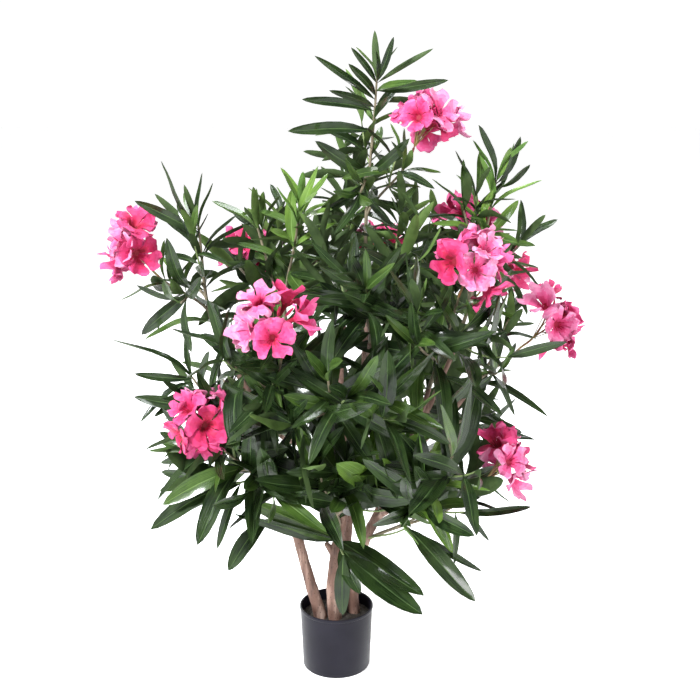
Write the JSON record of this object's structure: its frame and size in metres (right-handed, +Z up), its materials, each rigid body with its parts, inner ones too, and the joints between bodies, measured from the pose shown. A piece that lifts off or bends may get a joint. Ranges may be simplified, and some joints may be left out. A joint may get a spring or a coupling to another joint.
{
  "type": "artificial potted oleander",
  "caption": "Artificial oleander in a round black pot: bare woody stems fork into shoots of long narrow leaves in whorls, some of them ending in heads of pink blossom.",
  "frame": {"origin": "centre of the pot's flat underside, on the surface the plant stands on", "axes": "+Z up; -Y towards the front of the plant; +X to the right as seen from the front"},
  "size_m": [0.855, 0.8291, 1.199],
  "materials": {
    "pot": "satin",
    "cement": "rough",
    "bark": "rough",
    "foliage": "satin",
    "blossom": "matte"
  },
  "bodies": {
    "root": {"blossom_back_left": "blossom", "blossom_back_mid": "blossom", "blossom_back_right": "blossom", "blossom_crown_top": "blossom", "blossom_front_left": "blossom", "blossom_left_low": "blossom", "blossom_left_upper": "blossom", "blossom_right_far": "blossom", "blossom_right_front": "blossom", "blossom_right_low": "blossom", "blossom_right_upper": "blossom", "bough_back_left": "bark", "bough_back_left_low": "bark", "bough_back_low": "bark", "bough_back_mid": "bark", "bough_back_right": "bark", "bough_back_right_low": "bark", "bough_centre": "bark", "bough_centre_front": "bark", "bough_front_left": "bark", "bough_left_high": "bark", "bough_left_low": "bark", "bough_left_mid": "bark", "bough_mid_left": "bark", "bough_right_arm": "bark", "bough_right_far": "bark", "bough_right_front": "bark", "bough_right_high": "bark", "bough_right_low": "bark", "foliage_back_left": "foliage", "foliage_back_left_low": "foliage", "foliage_back_low": "foliage", "foliage_back_mid": "foliage", "foliage_back_right": "foliage", "foliage_back_right_low": "foliage", "foliage_centre": "foliage", "foliage_centre_front": "foliage", "foliage_centre_low": "foliage", "foliage_crown_top": "foliage", "foliage_front_left": "foliage", "foliage_left_low": "foliage", "foliage_left_mid": "foliage", "foliage_left_upper": "foliage", "foliage_mid_left": "foliage", "foliage_right_arm": "foliage", "foliage_right_bottom": "foliage", "foliage_right_far": "foliage", "foliage_right_front": "foliage", "foliage_right_low": "foliage", "foliage_right_upper": "foliage", "pot": "pot", "pot_fill": "cement", "stem_back": "bark", "stem_left": "bark", "stem_middle": "bark", "stem_right": "bark"}
  },
  "joints": []
}
